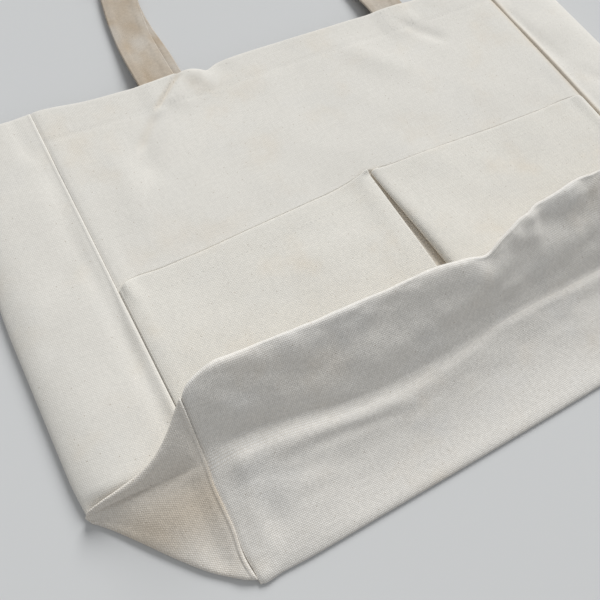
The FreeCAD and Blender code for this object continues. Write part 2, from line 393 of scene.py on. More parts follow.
def canvas(name, colour, pitch=1 * MM, blotch=0.5, relief=1, depth=1):
    """Unbleached plain-weave cotton: crossing yarns, blotches and seed flecks.

    pitch is the width of a yarn, blotch the strength of the warm blotches, relief how far
    the yarns stand out, and depth how much darker the cloth is between them.
    """
    g = Graph(name)
    grain = g.attribute("grain")
    thick_u = g.noise(g.stretched(grain, 700, 90), 1, 1)
    thick_v = g.noise(g.stretched(grain, 90, 700), 1, 1)
    yarn = weave(g, grain, thick_u, thick_v, pitch)
    deep = tuple(part * (1 - loss * depth) for part, loss in zip(colour, YARN_LOSS)) + (1,)
    tint = g.mix(g.span(yarn, 0, 0.6), deep, colour)
    tint = seeded(g, grain, blotched(g, grain, thick_u, thick_v, tint, blotch, depth))
    # Painted shade: the cloth is toned darker and browner where its piece asks, in creases, beside seams,
    # between the pockets and on the ears; on the straps the same tone makes random patches
    tint = g.toned(g.attribute("soil", "Fac"), tint, SHADE_AND_PATCH_TONE)
    fuzz = g.noise(grain, 900, 3, 0.6)
    lumps = g.put("Bump", Height=fuzz, Distance=0.25 * MM, Strength=0.35)
    threads = g.put("Bump", Height=yarn, Distance=0.22 * relief * MM,
                    Strength=min(0.5 * relief, 1), Normal=lumps.outputs[0])
    g.surface(Base_Color=tint, Normal=threads.outputs[0], Roughness=g.span(yarn, 0, 1, 0.98, 0.88),
              Specular_IOR_Level=0.15, Sheen_Weight=0.1, Sheen_Roughness=0.5)
    return g.material


def thread_material(name, colour):
    """Twisted sewing thread."""
    g = Graph(name)
    split = g.put("SeparateXYZ", Vector=g.attribute("grain"))
    slant = g.math("ADD", split.outputs[0], split.outputs[1])
    twist = g.math("ABSOLUTE", g.math("SINE", g.times(slant, math.pi / (0.45 * MM))))
    dark = tuple(part * 0.8 for part in colour[:3]) + (1,)
    bump = g.put("Bump", Height=twist, Distance=0.1 * MM, Strength=0.6)
    g.surface(Base_Color=g.mix(twist, dark, colour), Normal=bump.outputs[0], Roughness=0.8,
              Sheen_Weight=0.1)
    return g.material


MATERIALS = {
    "canvas": canvas("canvas_body", (0.812, 0.782, 0.73, 1), relief=0.8, depth=0.8),
    # The base and ears take a paler copy of the same canvas, with deeper painted shade between its yarns
    "base_canvas": canvas("canvas_base", (0.868, 0.842, 0.805, 1), relief=1.15, depth=1.8),
    "pocket_canvas": canvas("canvas_pocket", (0.825, 0.795, 0.738, 1), blotch=0.6),
    "seam_canvas": canvas("canvas_seam", (0.805, 0.775, 0.725, 1), blotch=0.3),
    "strap_canvas": canvas("canvas_strap", (0.62, 0.565, 0.5, 1), pitch=0.9 * MM, blotch=1,
                           depth=1.7),
    "thread": thread_material("cotton_thread", (0.8, 0.77, 0.72, 1)),
}


# ---- mesh making

def to_frame(points):
    points = np.asarray(points, float).reshape(-1, 3) * MM
    points[:, 1] += BASE_EDGE_Y
    return points


def frame_point(x, y, z):
    return Vector(to_frame((x, y, z))[0])


def add_object(name, data):
    made = bpy.data.objects.new(name, data)
    bpy.context.scene.collection.objects.link(made)
    return made


def mesh_piece(name, points, faces, grain, slot, soil=None):
    mesh = bpy.data.meshes.new(name)
    mesh.from_pydata(to_frame(points).tolist(), [], faces)
    mesh.attributes.new("grain", "FLOAT_VECTOR", "POINT")
    mesh.attributes["grain"].data.foreach_set("vector", (np.asarray(grain, float) * MM).ravel())
    # Painted shade, and the straps' random patches, stored per point for the canvas to tone
    if soil is not None:
        mesh.attributes.new("soil", "FLOAT", "POINT")
        mesh.attributes["soil"].data.foreach_set("value", np.asarray(soil, float))
    mesh.polygons.foreach_set("use_smooth", [True] * len(mesh.polygons))
    mesh.materials.append(MATERIALS[slot])
    mesh.update()
    piece = add_object(name, mesh)
    return piece


def cloth(name, grid, u, v, slot="canvas", thickness=CLOTH, tanned=None):
    """Closed sheet of even thickness about a grid of points, with rounded raw edges.

    u and v are the distances along the cloth at the grid's columns and rows.
    A function of (x, y), when given, says how much darker and browner the cloth is at a place: painted
    shade in creases, beside seams, between the pockets and on the ears, and random patches on the straps.
    """
    rows, columns = grid.shape[:2]
    count = rows * columns
    half = thickness / 2
    offset = grid_normals(grid) * half
    flat = xyz(u, v if np.ndim(v) == 2 else v[:, None], 0)
    loop = ([(0, c) for c in range(columns)] + [(r, columns - 1) for r in range(1, rows)]
            + [(rows - 1, c) for c in range(columns - 2, -1, -1)]
            + [(r, 0) for r in range(rows - 2, 0, -1)])
    ring = np.array([grid[r, c] for r, c in loop])
    inner = np.array([grid[min(max(r, 1), rows - 2), min(max(c, 1), columns - 2)] for r, c in loop])
    edge = ring + unit(ring - inner) * half
    points = np.concatenate([(grid + offset).reshape(-1, 3), (grid - offset).reshape(-1, 3), edge])
    grain = np.concatenate([flat.reshape(-1, 3), flat.reshape(-1, 3),
                            np.array([flat[r, c] for r, c in loop])])
    index = np.arange(count).reshape(rows, columns)
    quads = np.stack([index[:-1, :-1], index[:-1, 1:], index[1:, 1:], index[1:, :-1]],
                     axis=2).reshape(-1, 4)
    faces = quads.tolist() + (quads[:, ::-1] + count).tolist()
    for k, place in enumerate(loop):
        following = (k + 1) % len(loop)
        top, top2 = int(index[place]), int(index[loop[following]])
        middle, middle2 = 2 * count + k, 2 * count + following
        faces.append([top2, top, middle, middle2])
        faces.append([middle2, middle, top + count, top2 + count])
    soil = None if tanned is None else tanned(points[:, 0], points[:, 1])
    return mesh_piece(name, points, faces, grain, slot, soil)


def turned_hem(grid, v, depth, gap, side=-1, step=2.2):
    """Adds to the last row a rounded turn and a ply that runs back along one side of the sheet."""
    inward = side * grid_normals(grid)
    back = running(gaps(grid).mean(axis=1)[::-1])
    outward = unit(grid[-1] - grid[-2])
    rows = []
    travel = []
    for angle in np.linspace(0, math.pi, 7)[1:-1]:
        turn = inward[-1] * (1 - math.cos(angle)) + outward * math.sin(angle)
        rows.append(grid[-1] + turn * gap / 2)
        travel.append(gap / 2 * angle)
    for distance in np.arange(0, depth, step):
        place = np.interp(distance, back, np.arange(len(back)))
        k = int(place)
        share = place - k
        near = grid[-1 - k] + inward[-1 - k] * gap
        far = grid[-2 - k] + inward[-2 - k] * gap
        rows.append(near * (1 - share) + far * share)
        travel.append(gap / 2 * math.pi + distance)
    return np.concatenate([grid, np.array(rows)]), np.concatenate([v, v[-1] + np.array(travel)])


def mirrored(grid):
    """The left-hand twin of a right-hand grid, with its columns turned round to keep its face up."""
    twin = grid[:, ::-1].copy()
    twin[:, :, 0] *= -1
    return twin


STITCH_PITCH = 3.4
THREAD_RADIUS = 0.24
AROUND = 6  # corners of a thread's outline
# Along a stitch: share of its length from its middle, and share of the thread's radius
STITCH_SHAPE = ((-0.5, 0.25), (-0.32, 0.9), (0, 1), (0.32, 0.9), (0.5, 0.25))


def stitches(name, runs, length=2.4):
    """Small rounded stitches. runs is a list of (centre, direction, up) in millimetres."""
    points = []
    faces = []
    grain = []
    last = (len(STITCH_SHAPE) - 1) * AROUND
    for centre, direction, up in runs:
        direction = Vector(direction).normalized()
        side = direction.cross(Vector(up)).normalized()
        up = side.cross(direction)
        first = len(points)
        for place, share in STITCH_SHAPE:
            sink = THREAD_RADIUS * (0.25 + 0.9 * (abs(place) * 2) ** 2)
            middle = Vector(centre) + direction * place * length - up * sink
            for k in range(AROUND):
                angle = 2 * math.pi * k / AROUND
                out = side * math.cos(angle) + up * math.sin(angle) * 0.8
                points.append(middle + out * THREAD_RADIUS * share)
                grain.append((place * length, angle * THREAD_RADIUS, 0))
        for ring in range(first, first + last, AROUND):
            for k in range(AROUND):
                a = ring + k
                b = ring + (k + 1) % AROUND
                faces.append([a, b, b + AROUND, a + AROUND])
        faces.append([first + k for k in range(AROUND)][::-1])
        faces.append([first + last + k for k in range(AROUND)])
    return mesh_piece(name, points, faces, grain, "thread")


def runs_along(path, ups, pitch):
    """Stitch places at an even pitch along a line of points."""
    reach = running(gaps(path))

    def at(distance, values):
        return np.array([np.interp(distance, reach, values[:, k]) for k in range(3)])

    return [(at(place, path), at(place + 1, path) - at(place - 1, path), at(place, ups))
            for place in np.arange(pitch / 2, reach[-1], pitch)]


# ---- shapes of the bag

FOLD_Z = CREASE.z - 2  # the crease behind the ridge, just under the hinge line

# The folded ridge, from the left seam to the right one: x, then y and z of its top.
RIDGE = [
    (-190, 97.5, 37.5), (-183, 102, 41), (-173, 105, 43.6), (-145, 105, 43.6), (-100, 103, 43.2),
    (-60, 102, 43), (-18, 100.5, 43), (2, 97.5, 41.5), (13, 96.5, 39.6), (26, 101, 41.5),
    (45, 106.5, 43.6), (75, 111, 45.6), (115, 114, 47), (150, 112, 46), (176, 105.5, 43),
    (190, 97.5, 37.5),
]

# The low crest across the base and the hollow behind it: x, crest y and z, hollow y and z.
BASE_CREST = [
    (-190, 58.6, 15.4, 71, 15.8), (-181, 58.8, 16.8, 71.4, 15.9), (-170, 58.8, 17.3, 70.6, 15.7),
    (-150, 57.2, 16.9, 69, 15.1), (-124, 53.4, 15.5, 64.6, 13.8), (-94, 49.6, 13.8, 60, 12.5),
    (-60, 48.4, 12.6, 58.6, 12), (-40, 50.4, 12.4, 59.2, 12), (-15, 54, 12.5, 61.2, 12.1),
    (5, 57, 12.7, 63.2, 12.3), (38, 58, 12.8, 64.2, 12.5), (100, 58, 12.9, 64.2, 12.6),
    (150, 59.4, 13.3, 65.8, 13.6), (176, 61, 14, 69, 15), (190, 61.6, 14.4, 71.4, 16.4),
]

# Height of the seam between the base and an ear, for each distance from the base edge
SEAM_CLIMB = [
    (3.4, 2.2), (10, 3.2), (24, 5.4), (45, 9.8), (58, 12.8), (66, 15), (74, 18), (82, 24.4), (89, 31),
    (94, 35.4),
]

# The mouths of the two pockets: x and y
LEFT_TOP = [
    (-190, 181.5), (-187, 184), (-184, 185.2), (-160, 185.4), (-130, 185.8), (-100, 187.2),
    (-60, 189.2), (-30, 191.4), (-12, 194.2), (-3, 196.2),
]
RIGHT_TOP = [
    (-1, 193.2), (4, 194.2), (14, 193.2), (40, 192.2), (80, 191.4), (110, 190.2), (150, 189.4),
    (184, 189), (187, 188.4), (190, 186),
]

# Folds: where each starts and ends, its width and height, and how far its ends fade
FRONT_FOLDS = [
    ((-81, 332), (-114, 302), 1.7, -2.1, 0.22), ((-72, 334), (-104, 302), 5, 1, 0.2),
    ((-110, 304), (-140, 272), 2.6, -1.1, 0.3), ((-99, 308), (-138, 262), 7, 0.5, 0.3),
    ((-60, 328), (-80, 310), 2.2, -0.7, 0.25), ((-150, 300), (-158, 210), 9, 0.9, 0.4),
    ((-128, 292), (-138, 240), 8, -0.8, 0.4), ((30, 322), (90, 250), 12, 0.8, 0.4),
    ((96, 318), (128, 276), 6, -1.1, 0.3),
]
BASE_FOLDS = [
    ((-35, 64), (70, 76), 2.6, -0.9, 0.3), ((20, 66), (120, 82), 3.2, -1, 0.3),
    ((-150, 51), (-70, 41), 3, -1, 0.3), ((-168, 44), (-120, 36), 4.5, -0.5, 0.4),
    ((-187, 77), (-140, 69), 4.5, -1.4, 0.3), ((-177, 64), (-170, 48), 6.5, 0.8, 0.4),
    ((-150, 82), (-60, 84), 5, -0.9, 0.4), ((-90, 72), (20, 80), 4, 0.8, 0.4),
    ((-165, 42), (-173, 0), 6.5, -1.5, 0.45), ((-180, 50), (-183, 0), 5.5, 1.6, 0.4),
    ((30, 100), (58, 90), 4.5, 1, 0.3), ((52, 106), (84, 94), 4.5, -1, 0.3),
]
GUSSET_FOLDS = [
    ((191, 305), (206, 205), 7, -0.6, 0.3), ((202, 222), (249, 150), 7, -0.7, 0.3),
    ((203, 345), (203, 290), 5, -0.8, 0.3),
]


def rim_line(x):
    """How far the rim reaches from the base edge."""
    beside = np.abs(x) - 186
    swell = 4.5 * bell(beside, np.where(beside < 0, 24, 42))
    dip = -4.5 * bell(x + 64, 7) - 1.5 * bell(x + 110, 16)
    return RIM_Y - RIM_INSET + swell + dip + 0.7 * soft_noise(x, 0, 42, 3)


def mouth_line(x):
    """How far both pockets reach up the front."""
    share = smooth((x + 3) / 4)
    return level_on(LEFT_TOP, x) * (1 - share) + level_on(RIGHT_TOP, x) * share


GAP_TOP = 194  # where the opening between the pockets starts, and how far down it runs
GAP_RUN = 86


def slant(y, at_top, spread):
    """x of a line that leans outwards from the mouth of the pockets to their foot."""
    return at_top + spread * (GAP_TOP - y) / GAP_RUN


def gap_line(y):
    """Middle of the opening between the two pockets."""
    return slant(y, -2.6, 6.2)


def sinking(y):
    """How far the walls sink towards the rim."""
    return 1.2 * after(y, 210, 110)


FRONT_LEVEL = 11.9  # middle of the front's cloth above the floor
SEAM_LEVEL = 11.6  # and of the gussets' beside it


def front_height(x, y):
    """Middle of the front panel's cloth above the floor."""
    x, y = np.broadcast_arrays(np.asarray(x, float), np.asarray(y, float))
    inset = SEAM_X - np.abs(x)
    lumps = noises(x, y, (0.8, 62, 5), (0.3, 27, 8), (0.07, 12, 9))
    z = FRONT_LEVEL - sinking(y) + lumps * smooth(inset / 18)
    under_pockets = 1 - smooth((y - mouth_line(x) - 0.2) / 1.5)
    z = z - under_pockets * (0.1 + 1.4 * after(inset, 2, 12))
    z = z - 0.9 * bell(x - gap_line(y), 6.5) * before(y, 192, 24) * after(y, 66, 16)
    beside_strap = np.abs(np.abs(x) - STRAP_X)
    z = z + 0.9 * after(y, 292, 16) * smooth((STRAP_WIDTH / 2 + 8 - beside_strap) / 14)
    z = z + folds(x, y, FRONT_FOLDS)
    z = z + 1.8 * bell(np.hypot(x + 71, (y - 322) * 0.8), 8.5)
    z = z - 0.9 * bell(x + 55, 9) * after(y, 305, 25)
    z = z - 0.6 * bell(inset, 1.6) + 0.2 * bell(inset - 7, 4)
    return z - 0.2 * bell(y - (RIM_Y - HEM_DEPTH + 2), 1.6)


def body_profile(x):
    """Control points of the back, base and tucked front, one column for each x."""
    ridge_y, ridge_z = through(RIDGE, x).T
    crest_y, crest_z, hollow_y, hollow_z = through(BASE_CREST, x).T
    wave = soft_noise(x, 0, 46, 12)
    ripple = soft_noise(x, 0, 17, 14)
    edge = -1.2 * bell(x, 150) + 0.8 * bell(np.abs(x) - 178, 12)
    swell = after(-x, 115, 45)
    side = smooth((np.abs(x) - 176) / 14)
    roll = 1 - 0.45 * side
    rise_y = ridge_y - hollow_y
    rise_z = ridge_z - hollow_z
    shake = (1 - side) * (0.2 + 0.8 * smooth((x + 20) / 50))
    ridge_y = ridge_y + shake * (0.8 * ripple + 0.5 * soft_noise(x, 0, 8, 15))
    ridge_z = ridge_z + shake * 0.5 * soft_noise(x, 0, 14, 16)
    back = [(RIM_Y - RIM_INSET, MID), (265, MID), (200, MID + 0.1), (120, MID), (50, MID),
            (14, MID), (edge + 2.6, MID + 0.05), (edge + 0.3, 1.2), (edge + 2, 2.3)]
    base = [(y * crest_y, z * crest_z + level + up * swell + lump * wave) for y, z, level, up, lump in (
        (0.2, 0.11, 1.4, 1.5, 0), (0.42, 0.27, 0.5, 1.7, 0.6), (0.64, 0.5, 0, 1.2, 0.5),
        (0.83, 0.74, 0, 0.3, 0))]
    base += [(crest_y + y, crest_z - down) for y, down in ((-3.6, 1.1), (-0.6, 0.1), (2.4, 0.1))]
    base += [(0.45 * crest_y + 0.55 * hollow_y, 0.4 * crest_z + 0.6 * hollow_z - 0.1),
             (hollow_y, hollow_z + 0.9), (hollow_y + 3, hollow_z + 3.4),
             (hollow_y + 0.27 * rise_y, hollow_z + 0.36 * rise_z + 0.5 * wave),
             (hollow_y + 0.46 * rise_y, hollow_z + 0.55 * rise_z + 0.6 * ripple + 0.5 * wave)]
    ridge = [(ridge_y + y * roll, ridge_z + z * roll)
             for y, z in ((-14, -8.4), (-9, -4.2), (-5.2, -1.7), (-2.4, -0.5))]
    ridge += [(ridge_y - 0.6, ridge_z - 0.4 * roll), (ridge_y + 0.6 * roll, ridge_z - 2.4 * roll),
              (ridge_y - 0.2, ridge_z - 5), (ridge_y - 6.5, ridge_z - 12.6)]
    tuck = [(CREASE.y + y, FOLD_Z + z) for y, z in ((21, 12.4), (13.5, 6.4), (6, 3), (0.4, 0.2))]
    return columns_at(x, back + base + ridge + tuck)


def seam_dip(grid, x):
    """Lets a panel's long edges sink into the side seams."""
    inset = SEAM_X - np.abs(x)
    return raised(grid, (-0.75 * bell(inset, 1.7) + 0.3 * bell(inset - 6, 3.5))[None, :])


def on_seam(grid, weight):
    """Draws the lower base and an ear's lower side to the same line where they are sewn together."""
    edge = int(np.argmin(grid[..., 1].min(axis=1)))
    top = int(np.argmax(grid[..., 2].max(axis=1)))
    y, z = grid[min(edge, top):max(edge, top), :, 1:].transpose(2, 0, 1)
    share = weight * after(y, 3, 5) * before(y, 93, 10)
    z += share * (level_on(SEAM_CLIMB, y) - z)
    return grid


def crumple(grid):
    """Small creases and lumps in the folded base."""
    x, y, z = grid.transpose(2, 0, 1)
    shown = after(z, 3, 5) * smooth((SEAM_X - 2 - np.abs(x)) / 10)
    height = 0.45 * soft_noise(x, y * 2.2, 26, 71) + 0.25 * soft_noise(x, y * 2, 11, 72)
    from_ridge = np.argmax(z, axis=0)[None, :] - np.arange(len(grid))[:, None]
    band = smooth((from_ridge + 1) / 4) * after(z, 16, 6)
    kinks = noises(x, y * 1.6, (0.85, 19, 75), (0.35, 8, 76))
    return raised(grid, (height + folds(x, y, BASE_FOLDS) + band * kinks) * shown)


def lean(grid):
    """Leans the lower seam of the base: outwards at the floor, inwards higher up."""
    moved = grid.copy()
    x, y, z = grid.transpose(2, 0, 1)
    shift = 3.2 * before(y, 34, 26) * after(z, 1, 5) - 1.6 * after(y, 52, 18)
    reach = np.where(np.abs(x) < SEAM_X, 24, 60)
    moved[..., 0] += np.sign(x) * shift * bell(np.abs(x) - SEAM_X, reach) * after(z, 0.6, 2)
    return moved


def body_cloth():
    x = spaced(2 * SEAM_X, 2.5, margin=6) - SEAM_X
    grid, v = curve_through(body_profile(x), 2.4)
    grid = on_seam(crumple(grid), smooth((np.abs(x) - 170) / 18)[None, :])
    grid = lean(seam_dip(grid, x))[::-1]
    grid, v = turned_hem(grid, v[-1] - v[::-1], HEM_DEPTH, HEM_GAP, side=1)
    piece = cloth("body_cloth", grid, x, v, "base_canvas")
    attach(piece, "bag_body")
    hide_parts("back_panel", "base_panel", "front_panel_tuck", "back_hem")


# Where the front, with all that is sewn to it, bends as the mouth opens.
BEND_START = CREASE.y - 2
BEND_END = CREASE.y + 40


def bends_with_front(piece):
    """Bakes a piece of the front's placing into its mesh; where it would curve up from the crease under
    the ridge is worked out but not used.
    """
    start = frame_point(0, BEND_START, 0)
    end = frame_point(0, BEND_END, 0)
    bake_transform(piece)


def front_painted_shade(x, y):
    """Painted shade: darker, browner cloth where shade falls between the pockets, beside the right seam
    and in the creases under the left strap.
    """
    opening = bell(x - gap_line(y), 7) * before(y, 200, 8) * after(y, 60, 10)
    crease = fold(x, y, (-80, 333), (-117, 301), 2, 0.3, 0.2)
    lower_crease = fold(x, y, (-112, 304), (-140, 272), 3, 0.15, 0.3)
    return np.max([crease, lower_crease, 0.45 * opening, 0.4 * bell(x - SEAM_X, 3)], axis=0)


def right_seam_painted_shade(x, y):
    """Painted shade: darker cloth beside the right seam, on the gusset's side."""
    return 0.55 * bell(np.abs(x) - SEAM_X, 3) * (x > 0)


def ear_painted_shade(x, y):
    """Painted shade: the ears a little darker and browner all over, most on their lower folds."""
    return 0.15 + 0.45 * bell(y - 50, 16)


def strap_patches(x, y):
    """The straps are darker and browner in random patches."""
    patches = 0.3 + noises(x, y, (0.42, 15, 91), (0.2, 6, 92))
    return np.clip(patches, 0, 1)


def front_cloth():
    x = spaced(2 * SEAM_X, 2.2, margin=6) - SEAM_X
    mouth = mouth_line(x)
    rows = [CREASE.y + share * (mouth - 3 - CREASE.y) for share in np.linspace(0, 1, 56)[:-1]]
    rows += [mouth + step for step in (-3, -1.8, -0.8, -0.1, 0.3, 0.6, 0.9, 1.2, 1.5, 1.9, 2.6, 3.6)]
    above = mouth + 5.4
    rows += [above + share * (rim_line(x) - above) for share in np.linspace(0, 1, 64)]
    y = np.array(rows)
    settle = smooth((y - CREASE.y) / 24)
    z = FOLD_Z * (1 - settle) + front_height(x, y) * settle
    v = y.mean(axis=1) - CREASE.y
    grid, v = turned_hem(xyz(x, y, z), v, HEM_DEPTH, HEM_GAP)
    piece = cloth("front_cloth", grid, x, v + 400, tanned=front_painted_shade)
    bends_with_front(piece)
    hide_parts("front_panel", "front_hem")


# ---- gussets and ears

def seam_roll(inset, height, shoulder, hollow, groove):
    """Height of the turned seam's roll at a distance from the seam."""
    roll = height * smooth((inset + 0.5) / 1.4) * (1 - smooth((inset - 1) / shoulder))
    return roll - groove * bell(inset, 0.6) - hollow * bell(inset - 9, 5)


def rides_gusset(piece, sign, front):
    """Bakes half of a gusset's placing into its mesh; both halves meet half way at the fold. Where it
    would bend between the two walls is worked out but not used.
    """
    far = 2 * FOLD_X - SEAM_X
    start, end = (frame_point(sign * x, 0, 0) for x in ((far, SEAM_X) if front else (SEAM_X, far)))
    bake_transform(piece)


GUSSET_HALF = 63.5  # from the seam to the gusset's fold
GUSSET_FOLD_Z = 3
# The front half of a gusset, from the seam out: distance from the seam, height above its level.
GUSSET_SECTION = [
    (0.4, -0.1), (3, 0), (8, 0), (15, -0.2), (24, -0.4), (35, -0.7), (46, -1.4), (54.5, -2.9),
    (60, -4.9), (62.9, -6.9), (GUSSET_HALF, None),
]
EAR_FOOT = 74.5  # where the ears' lower ply ends on the floor
GUSSET_BACK_START = EAR_FOOT + 0.6  # and the back half of a gusset goes on from it
# Roll height, shoulder width, hollow beside it, groove and noise seed of each front gusset
GUSSET_SEAMS = {"right": (1, 6, 0.1, 1.5, 26), "left": (0.6, 1.7, 0.45, 0.7, 21)}


def gusset_bulge(reach, y):
    """How far a gusset's fold swells outwards."""
    return 1.6 * after(reach, 40, 23) * after(y, 66, 30) * before(y, 240, 60)


def gusset_front_grid(roll, shoulder, hollow, groove, seed):
    """Right-hand front half of the gusset, from the crease under the ear to the rim."""
    share = np.linspace(0, 1, 118)
    section = []
    for reach, drop in GUSSET_SECTION:
        x = SEAM_X + reach
        low = 63 + 9 * reach / GUSSET_HALF
        y = low + share * (rim_line(x) - low)
        z = np.full_like(y, GUSSET_FOLD_Z) if drop is None else SEAM_LEVEL - sinking(y) + drop
        settle = smooth((y - low) / 11)
        under = min(FOLD_Z - 5.2 * reach / GUSSET_HALF, float(z[0])) - 0.7
        z = under * (1 - settle) + z * settle
        section.append(xyz(x + gusset_bulge(reach, y), y, z))
    grid, u = curve_through(section, 1.9)
    grid = grid.transpose(1, 0, 2)
    x, y = grid[..., 0], grid[..., 1]
    free = after(x - SEAM_X, 3, 10) * smooth((FOLD_X - 2 - x) / 12)
    lumps = free * noises(x, y, (0.7, 55, seed), (0.3, 24, seed + 1))
    uneven = np.where(x - SEAM_X > 1, 1 + 0.35 * soft_noise(0, y, 33, seed + 2), 1)
    low_down = before(y, 194, 46)
    rise = roll + (1.5 - roll) * low_down
    width = shoulder + (6.5 - shoulder) * low_down
    edge = seam_roll(x - SEAM_X, rise, width, hollow + 0.5 * low_down, groove) * uneven
    grid = raised(grid, lumps + folds(x, y, GUSSET_FOLDS) + edge)
    return grid, u, share * (RIM_Y - 67)


def gusset_back_grid():
    """Right-hand back half of the gusset, flat on the floor."""
    y = np.linspace(GUSSET_BACK_START, RIM_Y - RIM_INSET, 60)
    section = [(0.3, MID), (20, MID), (40, MID), (55, MID), (60.5, MID + 0.25),
               (63, MID + 1.2), (GUSSET_HALF, GUSSET_FOLD_Z)]
    rows = [xyz(SEAM_X + reach + gusset_bulge(reach, y), y, height) for reach, height in section]
    grid, u = curve_through(rows, 3.2)
    return grid.transpose(1, 0, 2), u, y - GUSSET_BACK_START


def on_side(sign, grid, u):
    """A right-hand grid and its distances across, turned round for the left side."""
    return (grid, u) if sign > 0 else (mirrored(grid), u[::-1])


def gussets():
    back, back_u, back_v = gusset_back_grid()
    back, back_v = turned_hem(back, back_v, HEM_DEPTH, HEM_GAP, side=1)
    for sign, side in SIDES:
        grid, u, v = gusset_front_grid(*GUSSET_SEAMS[side])
        grid, v = turned_hem(grid, v, HEM_DEPTH, HEM_GAP)
        piece = cloth(side + "_gusset_front_cloth", *on_side(sign, grid, u), v, tanned=right_seam_painted_shade)
        rides_gusset(piece, sign, True)
        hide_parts(side + "_gusset_front", side + "_gusset_front_hem")
        piece = cloth(side + "_gusset_back_cloth", *on_side(sign, back, back_u), back_v)
        rides_gusset(piece, sign, False)
        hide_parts(side + "_gusset_back", side + "_gusset_back_hem")


# The ear: top edge y and z, valley y and z, bottom edge y, for each x.
EAR = [
    (190, 98, 38.4, 65.6, 15.4, 3.4), (194, 94.8, 34.6, 66.2, 14.2, 5.6),
    (201, 88.4, 29, 67.2, 12.8, 10.8), (211, 81.4, 23, 68.4, 11.4, 19.6),
    (221, 77.8, 18.2, 69.2, 10.2, 31), (236, 75.4, 13.8, 70.8, 8.4, 50), (246, 74.4, 11, 71.6, 6.9, 62),
    (252, 73.5, 8.4, 72.1, 5.8, 68.2), (254.5, 73, 6.8, 72.3, 5.4, 70.4),
]
EAR_TIP = np.array((255.2, 71.8, 4))


def ear_profile(x):
    """Control points of the ear's folds, one column for each x."""
    top_y, top_z, valley_y, valley_z, bottom = through(EAR, x).T
    across = (x - SEAM_X) / (FOLD_X - SEAM_X)
    crease_y = 64 + 7.5 * across
    crease_z = FOLD_Z - 5.2 * across
    size = smooth((FOLD_X + 4 - x) / 34) * 0.9 + 0.1
    back_y = top_y - crease_y
    back_z = top_z - crease_z
    up_y = top_y - valley_y
    up_z = top_z - valley_z
    down = valley_y - bottom
    fall = valley_z - 2
    inner = [(crease_y + y * back_y, crease_z + z * back_z - puff * size)
             for y, z, puff in ((0, 0, 0), (0.35, 0.33, 0), (0.75, 0.7, 0.6))]
    top = [(top_y - 0.2, top_z - 2.4 * size)]
    top += [(top_y - y * size, top_z - z * size) for y, z in ((0, 1), (0.9, 0), (2.8, 0.9))]
    upper = [(valley_y + y * up_y, valley_z + z * up_z + puff * size)
             for y, z, puff in ((0.55, 0.56, 0.9), (0.22, 0.2, 0.2))]
    valley = [(valley_y + 0.6 * size, valley_z + 0.1), (valley_y - 0.9 * size, valley_z + 0.2 * size)]
    lower = [(valley_y - y * down, valley_z - z * fall + puff * size)
             for y, z, puff in ((0.1, 0.04, 0.5), (0.34, 0.36, 0.9), (0.66, 0.74, 0.8))]
    under = [(bottom + 0.12 * down, 2.5 + 0.08 * fall + 0.2 * size), (bottom + 0.4, 2.2),
             (bottom + 0.1, 1), (bottom + 1.4, MID + 0.05)]
    under += [(bottom + share * (72 - bottom) + 1.6, MID) for share in (0.35, 0.7)]
    return columns_at(x, inner + top + upper + valley + lower + under + [(EAR_FOOT, MID)])


def ear_grid():
    """Right-hand ear: up from the crease, over its top, down and under, with its tip closed."""
    x = SEAM_X + 0.25 + spaced(62.6, 1.8, fine=0.45, margin=6, ends=(True, False))
    grid, v = curve_through(ear_profile(x), 2)
    inset = (x - SEAM_X)[None, :]
    xx, y, z = grid.transpose(2, 0, 1)
    outside = smooth((v[:, None] - v[np.argmax(z, axis=0)][None, :] + 1) / 4)
    shown = after(z, 1.5, 3) * outside
    grid = on_seam(grid, 1 - smooth(inset / 12))
    small = before(inset, 60, 22)
    below_valley = through(EAR, x).T[2] - y
    lower = after(below_valley, 2, 6)
    upper = after(-below_valley, 2, 6)
    trough = 1.7 * bell(inset - 10 - 0.08 * (62 - y), 8) * after(y, 4, 14)
    lump = bell(np.hypot(xx - 222, y - 50), 14)
    height = seam_roll(inset, 0.75, 1.7, 0.15, 0.5) + small * lower * (lump - trough)
    height = height + small * upper * 1.2 * bell(inset - 10, 9)
    height = height + 0.35 * soft_noise(xx, y, 21, 31) * smooth(inset / 12)
    grid = raised(grid, -height * shown)
    tips = [EAR_TIP + (grid[:, -1] - EAR_TIP) * share for share in (0.72, 0.42, 0.12)]
    grid = np.concatenate([grid, np.stack(tips, axis=1)], axis=1)
    u = np.concatenate([x - SEAM_X, x[-1] - SEAM_X + np.array([0.7, 1.4, 2])])
    run = running(gaps(grid))
    return lean(grid), u, run - run[len(v) // 2]


def ears():
    grid, u, v = ear_grid()
    grid = grid[::-1]
    v = -v[::-1]
    for sign, side in SIDES:
        piece = cloth(side + "_ear_cloth", *on_side(sign, grid, u), v[:, ::sign], "base_canvas",
                      tanned=ear_painted_shade)
        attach(piece, "bag_body")
        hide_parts(side + "_gusset_ear", side + "_gusset_tuck")


# ---- seam allowances

ALLOWANCE = 9
ALLOWANCE_PLIES = 1.5
INNER_SIDE = (CLOTH + ALLOWANCE_PLIES) / 2 + 0.1


def seam_strip(name, rows, height, body, node):
    """Pressed seam allowance on the inside of a seam; rows are y and height gives z."""
    inset = np.array([0.2, 0.8, 2, 4, 6, 8, ALLOWANCE - 0.4, ALLOWANCE])
    x, y = np.broadcast_arrays(SEAM_X - inset[None, :], rows[:, None])
    grid = xyz(x, y, height(x, y))
    for sign, side in SIDES:
        piece = cloth(side + "_" + name, grid if sign > 0 else mirrored(grid), inset, rows,
                      "seam_canvas", ALLOWANCE_PLIES)
        if body == "front_wall":
            bends_with_front(piece)
        else:
            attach(piece, body)
        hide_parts(side + "_" + node)


def under_front(x, y):
    return front_height(x, y) - INNER_SIDE


